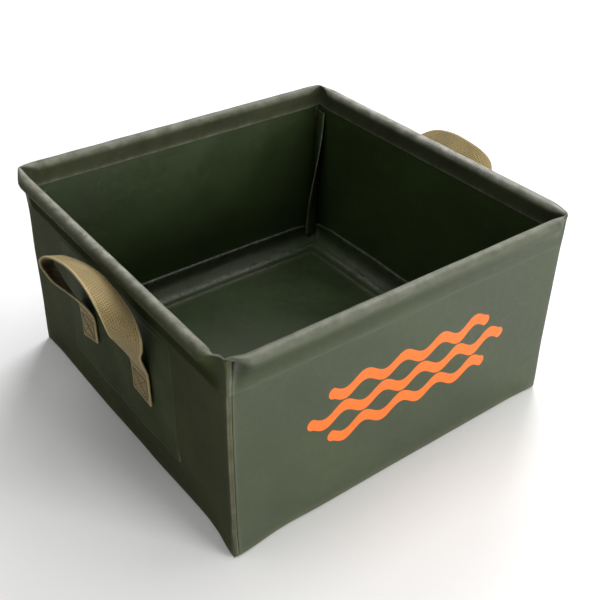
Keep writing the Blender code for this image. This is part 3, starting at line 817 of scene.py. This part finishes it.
def build_fin(side):
    """The two plies of a corner seam, standing into the basin and leaning over."""
    corner = ends_of(side)[1]
    z = np.linspace(FIN_FOOT, FIN_TOP, 40)
    share = (z - z[0]) / (z[-1] - z[0])
    width = FIN_WIDTH - FIN_TAPER * share
    lean = FIN_LEAN_FOOT + FIN_LEAN_RISE * smooth(share)
    pull = corner_pull(side, corner, z)
    across = np.array([0, 0.15, 0.3, 0.45, 0.6, 0.75, 0.88, 0.97, 1.0])
    middle = []
    for a in across:
        sideways = lean * a**1.5
        inward = np.sqrt(np.maximum((width * a) ** 2 - sideways**2, 0)) + FIN_START
        along = FIN_ROOT - pull[0] - (inward + sideways) / math.sqrt(2)
        out = FIN_ROOT - pull[1] - (inward - sideways) / math.sqrt(2)
        middle.append(np.stack([along, out, z], axis=-1))
    middle = np.array(middle)
    step = np.gradient(middle, axis=0)
    normal = unit(np.stack([step[..., 1], -step[..., 0], np.zeros(middle.shape[:2])], axis=-1))
    rounded = np.clip(1 - np.clip((across - 0.86) / 0.15, 0, 1) ** 2, 0.08, 1)
    offset = normal * (FIN_HALF_THICKNESS * np.sqrt(rounded))[:, None, None]
    u, v = across[:, None] * width + FIN_UV_START, np.broadcast_to(z, middle.shape[:2])
    # Its free edge is paler: rubbed wear with a painted highlight
    wear_and_painted_light = np.repeat(FIN_EDGE_WEAR_AND_HIGHLIGHT * fading(1 - across, 0.06), len(z))
    name = corner + "_corner_seam"
    made = sheet_object(side, name, middle + offset, middle - offset, u, v, wear_and_painted_light, [inner_face], 60)
    folds(made)


# Handles

# The loop's centre line, as shares of its reach, half its ends' spacing and its rise, and the step from it to
# its inner edge, as shares of its width
LOOP_REACH, LOOP_RISE = 0.033, 0.083
LOOP_CENTRE_SHARES = (
    (0.35, 1.18, 0.34), (0.54, 1.43, 0.55), (0.62, 1.49, 0.72), (0.63, 1.30, 0.86),
    (0.63, 0.90, 0.96), (0.65, 0.39, 1.01), (0.72, -0.10, 0.99), (0.84, -0.53, 0.94),
    (0.92, -0.77, 0.86), (0.90, -0.88, 0.76), (0.81, -0.88, 0.65), (0.71, -0.87, 0.54),
    (0.58, -0.87, 0.44), (0.40, -0.93, 0.31), (0.20, -0.99, 0.17),
)
LOOP_ACROSS_SHARES = (
    (-0.12, 0.48, -0.07), (-0.24, 0.42, -0.10), (-0.34, 0.34, -0.14), (-0.40, 0.23, -0.18),
    (-0.42, 0.11, -0.24), (-0.43, -0.01, -0.25), (-0.41, -0.14, -0.26), (-0.35, -0.26, -0.25),
    (-0.30, -0.30, -0.25), (-0.30, -0.30, -0.26), (-0.30, -0.30, -0.26), (-0.28, -0.32, -0.27),
    (-0.24, -0.34, -0.28), (-0.18, -0.37, -0.28), (-0.09, -0.44, -0.22),
)
# How far each loop's top has fallen to one side and down
LOOP_SHIFT = {"left": (0.0, 0.0, 0.0), "right": (0.0, -0.013, -0.004)}
LOOP_STEPS, LOOP_OVERLAP = 9, 0.0006

# Places across the webbing, as shares of half its width, and the selvedge's thickness and width as shares
WEBBING_SPOTS = (-1.0, -0.985, -0.95, -0.88, -0.6, -0.3, 0.0, 0.3, 0.6, 0.88, 0.95, 0.985, 1.0)
SELVEDGE_THICKNESS, SELVEDGE_SHARE = 0.62, 0.07

SEWN_FOOT = 0.0725
SEWN_POINTS = 22
# The slant of a sewn end's foot, for the left handle's back end and for the others
SEWN_SLANTS = (0.0036, -0.0012)
# A sewn end's lift at its top, how far it and its stitches sink in, and where its map of the cloth starts
SEWN_LIFT, SUNK, SEWN_UV_START = 0.0004, 0.0001, 0.3

# The box of stitches: half its width and its height above the ground
BOX_HALF_WIDTH, BOX_LOW, BOX_HIGH = 0.0113, 0.0762, 0.0960
STITCH_PITCH, STITCH_GAP, STITCH_RISE = 0.0027, 0.08, 0.00032
THREAD_RADIUS, THREAD_SIDES, THREAD_RINGS = 0.00042, 6, 5

# The patch: half its length, its height above the ground and the round of its corners
PATCH_HALF, PATCH_LOW, PATCH_HIGH, PATCH_ROUND = 0.095, 0.034, 0.154, 0.006
# How proud of the wall the patch's foot stands, the share of that lost higher up, and the least that stays
PATCH_PROUD, PATCH_SUNK, PATCH_LEAST = 0.0008, 0.92, 0.0002
# The line pressed into it along its edge: its depth, distance from the edge and width
PRESSED, PRESSED_AT, PRESSED_WIDTH = 0.0002, 0.0055, 0.0012
PATCH_EDGE_WEAR = 0.45


def smooth_path(points, before, after, steps):
    """Points on a smooth curve through the given ones."""
    run = [before] + points + [after]
    path = []
    for n in range(len(points) - 1):
        p0, p1, p2, p3 = run[n : n + 4]
        for step in range(steps):
            t = step / steps
            bend = (2 * p0 - 5 * p1 + 4 * p2 - p3) * t**2 + (3 * p1 - p0 - 3 * p2 + p3) * t**3
            path.append(p1 + ((p2 - p0) * t + bend) / 2)
    return np.array(path + [points[-1]])


def loop_edge(toward_inner):
    """One edge of the strap's loop, from its + end over the top to its - end."""
    half = HANDLE_SPACING / 2
    width = WEBBING_WIDTH * toward_inner
    points = [np.array((0, half + width / 2, 0))]
    for centre, across in zip(LOOP_CENTRE_SHARES, LOOP_ACROSS_SHARES):
        middle = np.array((LOOP_REACH * centre[0], half * centre[1], LOOP_RISE * centre[2]))
        points.append(middle + width * np.array(across))
    points.append(np.array((0, -half - width / 2, 0)))
    below = np.array((0, 0, -0.020))
    return smooth_path(points, points[0] + below, points[-1] + below, LOOP_STEPS)


def strap_object(name, middle_line, across_line, normals, materials, uv_start=0.0):
    """Webbing swept along a line: a flat section with rounded selvedges."""
    half, thick = WEBBING_WIDTH / 2, WEBBING_THICKNESS / 2
    ring = []
    for x in WEBBING_SPOTS:
        full = SELVEDGE_THICKNESS + (1 - SELVEDGE_THICKNESS) * min(1.0, (1 - abs(x)) / SELVEDGE_SHARE)
        ring.append((x, thick * full * (1 if abs(x) < 1 else 0.5)))
    section = ring + [(x, -t) for x, t in reversed(ring)]
    count = len(section)
    points, uvs = [], []
    for m, a, n, length in zip(middle_line, across_line, normals, lengths_to(middle_line) + uv_start):
        for x, t in section:
            points.append(m + a * (x * half) + n * t)
            uvs.append((x * half, length))
    faces = grid_faces(len(middle_line), count, closed=True) + cap_faces(len(middle_line), count)
    kinds = ([0] * len(ring) + [len(materials) - 1] * len(ring)) * (len(middle_line) - 1)
    made = new_object(name, points, faces, uvs, materials, kinds + [0, 0])
    made.data.set_sharp_from_angle(angle=math.radians(55))
    return made


def build_loop(side):
    """The free loop of a handle's strap, with a darker copy of the webbing turned inward as painted shade."""
    edges = [loop_edge(1), loop_edge(-1)]
    high = smooth((edges[0] + edges[1])[:, 2] / 2 / LOOP_RISE)[:, None]
    hinge = np.array((STRAP_MIDDLE_OUT, HANDLE_OFF_MIDDLE, HINGE_UP))
    edges = [edge + np.array(LOOP_SHIFT[side]) * high + hinge for edge in edges]
    inner, outer = (turned(side, edge[:, [1, 0, 2]]) for edge in edges)
    middle = (inner + outer) / 2
    across = unit(inner - outer)
    normals = unit(np.cross(across, np.gradient(middle, axis=0)))
    down = np.array([0, 0, LOOP_OVERLAP])
    middle = np.concatenate([middle[:1] - down, middle, middle[-1:] - down])
    across = np.concatenate([across[:1], across, across[-1:]])
    normals = np.concatenate([normals[:1], normals, normals[-1:]])
    inward = np.sum((middle.mean(axis=0) - middle) * normals) > 0
    finishes = [webbing_painted_shade, webbing] if inward else [webbing, webbing_painted_shade]
    made = strap_object(side + "_handle_loop", middle, across, normals, finishes)
    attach(made, side + "_handle")
    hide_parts(side + "_handle_strap")


def build_sewn_end(side, which, sign):
    """A strap end sewn flat on its patch, with its box and cross of thread."""
    middle_along = HANDLE_OFF_MIDDLE + sign * HANDLE_SPACING / 2
    slant = SEWN_SLANTS[0 if side == "left" and which == "back" else 1] * (1 if side == "left" else -1)
    up = np.linspace(SEWN_FOOT, HINGE_UP, SEWN_POINTS)
    lift = SEWN_LIFT * bell(np.linspace(0, 1, SEWN_POINTS), 1, 0.10)
    line = np.stack([np.full(SEWN_POINTS, middle_along), STRAP_MIDDLE_OUT + lift - SUNK, up], axis=-1)
    middle = turned(side, line)
    across = turned(side, np.tile([1.0, 0.0, 0.0], (SEWN_POINTS, 1)))
    normal = turned(side, np.tile([0.0, 1.0, 0.0], (SEWN_POINTS, 1)))
    made = strap_object(f"{side}_{which}_sewn_end", middle, across, normal, [webbing], SEWN_UV_START)
    co = np.array([v.co for v in made.data.vertices])
    tilt = slant * ((co - middle[0]) @ across[0]) / (WEBBING_WIDTH / 2)
    co[:, 2] += tilt * np.clip((HINGE_UP - co[:, 2]) / (HINGE_UP - SEWN_FOOT), 0, 1)
    made.data.vertices.foreach_set("co", co.astype(np.float32).ravel())
    stitches = build_thread(side, which, middle_along, slant)
    for piece, node, slot in ((made, "strap_end", "webbing"), (stitches, "box_stitch", "thread")):
        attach(piece, side + "_handle_ends")
        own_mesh(piece)
        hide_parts(f"{side}_{which}_{node}")


def stitch_rings(start, end, slant):
    """The rings of points of one bowed stitch on a sewn end, each as (across, out, up) and its map."""
    ahead = unit(end - start)
    beside = np.array([-ahead[1], ahead[0]])
    face = STRAP_MIDDLE_OUT + WEBBING_THICKNESS / 2 - SUNK
    for r in range(THREAD_RINGS):
        t = r / (THREAD_RINGS - 1)
        rise = math.sin(math.pi * t)
        girth = THREAD_RADIUS * (0.35 + 0.65 * math.sqrt(rise))
        centre = start + (end - start) * t
        for q in range(THREAD_SIDES):
            angle = 2 * math.pi * q / THREAD_SIDES
            across, up = centre + beside * girth * math.cos(angle)
            out = face + STITCH_RISE * rise + girth * math.sin(angle)
            share = np.clip((HINGE_UP - up) / (HINGE_UP - SEWN_FOOT), 0, 1)
            yield (across, out, up + slant * across / (WEBBING_WIDTH / 2) * share), (across + 0.001 * q, up)


def build_thread(side, which, middle_along, slant):
    """The stitches of a box and its diagonals, each a short bowed length of thread."""
    ends = (-1, BOX_LOW), (1, BOX_LOW), (1, BOX_HIGH), (-1, BOX_HIGH)
    corners = [np.array((BOX_HALF_WIDTH * x, up)) for x, up in ends]
    points, faces, uvs = [], [], []
    for start, end in ((0, 1), (1, 2), (2, 3), (3, 0), (0, 2), (1, 3)):
        start, end = corners[start], corners[end]
        count = max(int(round(np.linalg.norm(end - start) / STITCH_PITCH)), 1)
        for k in range(count):
            a = start + (end - start) * (k + STITCH_GAP) / count
            b = start + (end - start) * (k + 1 - STITCH_GAP) / count
            first = len(points)
            for (across, out, up), uv in stitch_rings(a, b, slant):
                points.append((middle_along + across, out, up))
                uvs.append(uv)
            faces += grid_faces(THREAD_RINGS, THREAD_SIDES, first, closed=True)
            faces += cap_faces(THREAD_RINGS, THREAD_SIDES, first)
    return new_object(f"{side}_{which}_thread", turned(side, np.array(points)), faces, uvs, [thread])


def build_patch(side):
    """The patch that carries a handle, welded on the wall."""
    along = np.concatenate([np.linspace(-1, -0.93, 6), np.linspace(-0.91, 0.91, 60), np.linspace(0.93, 1, 6)])
    low_end, high_end = PATCH_LOW + PATCH_ROUND, PATCH_HIGH - PATCH_ROUND
    up = np.concatenate([
        np.linspace(PATCH_LOW, low_end, 7), np.linspace(low_end, high_end, 40)[1:-1],
        np.linspace(high_end, PATCH_HIGH, 7),
    ])
    aa, zz = np.meshgrid(along, up)
    edge = np.minimum(zz - PATCH_LOW, PATCH_HIGH - zz)
    left = np.clip(PATCH_ROUND - edge, 0, PATCH_ROUND)
    half = PATCH_HALF - PATCH_ROUND + np.sqrt(np.clip(PATCH_ROUND**2 - left**2, 0, None))
    ss = aa * half
    border = np.minimum(edge, half - np.abs(ss))
    out = wall_out(side, ss, zz)
    raised = 1 - PATCH_SUNK * smooth((zz - PATCH_LOW - 0.010) / 0.020)
    proud = PATCH_PROUD * raised * smooth((border + 0.0003) / 0.0010) + PATCH_LEAST
    pressed = PRESSED * bell(border, PRESSED_AT, PRESSED_WIDTH)
    outer = np.stack([ss, out + proud - pressed, zz], axis=-1)
    inner = np.stack([ss, out, zz], axis=-1)
    wear_and_painted_light = PATCH_EDGE_WEAR * fading(border, 0.0010) * raised
    made = sheet_object(side, side + "_patch_sheet", outer, inner, ss, zz, wear_and_painted_light, [patch_face], 70)
    folds(made)
    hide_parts(side + "_handle_patch")


# Camera, light and floor

WHITE = (1.0, 1.0, 1.0)
# Each light's name, place, the point it faces, size, energy and colour
LIGHTS = (
    ("key", (0.50, -1.65, 0.44), (0, 0, 0.08), (0.9, 0.7), 31, (1.0, 0.985, 0.95)),
    ("back", (1.10, 0.95, 1.30), (0, 0.1, 0), (1.0, 0.8), 30, WHITE),
    ("top", (0.60, -0.10, 1.80), (0, 0, 0), (1.1, 1.1), 12, WHITE),
    ("fill", (-0.45, 0.05, 1.75), (0, 0, 0.1), (0.9, 0.9), 8, WHITE),
    ("side", (-1.5, -0.9, 0.6), (0, 0, 0.1), (1.0, 0.8), 4, WHITE),
)
WORLD_STRENGTH = 0.09
FLOOR_REACH, FLOOR_BELOW = 6.0, 0.0005


def add_camera():
    back = Vector((
        math.sin(CAMERA_AZIMUTH) * math.cos(CAMERA_ELEVATION),
        -math.cos(CAMERA_AZIMUTH) * math.cos(CAMERA_ELEVATION),
        math.sin(CAMERA_ELEVATION),
    ))
    right = Vector((0, 0, 1)).cross(back).normalized()
    up = back.cross(right)
    turn = Matrix.Rotation(CAMERA_ROLL, 3, back)
    right, up = turn @ right, turn @ up
    data = bpy.data.cameras.new("camera")
    data.sensor_width = SENSOR
    data.lens = FOCAL_PIXELS * SENSOR / IMAGE_PIXELS
    data.clip_start, data.clip_end = 0.01, 100
    camera = bpy.data.objects.new("camera", data)
    camera.matrix_world = Matrix.Translation(CAMERA_AT) @ Matrix((right, up, back)).transposed().to_4x4()
    bpy.context.scene.collection.objects.link(camera)
    bpy.context.scene.camera = camera


def add_area_light(name, at, target, size, energy, colour):
    data = bpy.data.lights.new(name, "AREA")
    data.shape = "RECTANGLE"
    data.size, data.size_y = size
    data.energy = energy
    data.color = colour
    made = bpy.data.objects.new(name, data)
    made.location = at
    made.rotation_euler = (Vector(target) - Vector(at)).to_track_quat("-Z", "Y").to_euler()
    bpy.context.scene.collection.objects.link(made)


def add_surroundings():
    world = bpy.data.worlds.new("studio")
    bpy.context.scene.world = world
    world.use_nodes = True
    background = world.node_tree.nodes["Background"]
    background.inputs["Color"].default_value = WHITE + (1.0,)
    background.inputs["Strength"].default_value = WORLD_STRENGTH
    for light in LIGHTS:
        add_area_light(*light)
    mesh = bpy.data.meshes.new("floor")
    corners = [(FLOOR_REACH * x, FLOOR_REACH * y, 0) for x, y in ((-1, -1), (1, -1), (1, 1), (-1, 1))]
    mesh.from_pydata(corners, [], [(0, 1, 2, 3)])
    floor = bpy.data.objects.new("floor", mesh)
    floor.location.z = -FLOOR_BELOW
    n = Nodes("floor_pale")
    mesh.materials.append(n.finish(Base_Color=(0.93, 0.93, 0.93, 1.0), Roughness=0.9, Specular_IOR_Level=0.1))
    bpy.context.scene.collection.objects.link(floor)


bpy.context.scene.view_settings.view_transform = "Standard"
add_camera()
add_surroundings()
build_tray()
for name in SIDES:
    build_wall(name)
    build_hem(name)
    build_fin(name)
    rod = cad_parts[name + "_rim_rod"]
    rod.data.materials.clear()
    rod.data.materials.append(rod_finish)
for name, toward_front in (("left", 1), ("right", -1)):
    build_patch(name)
    build_loop(name)
    build_sewn_end(name, "front", toward_front)
    build_sewn_end(name, "back", -toward_front)
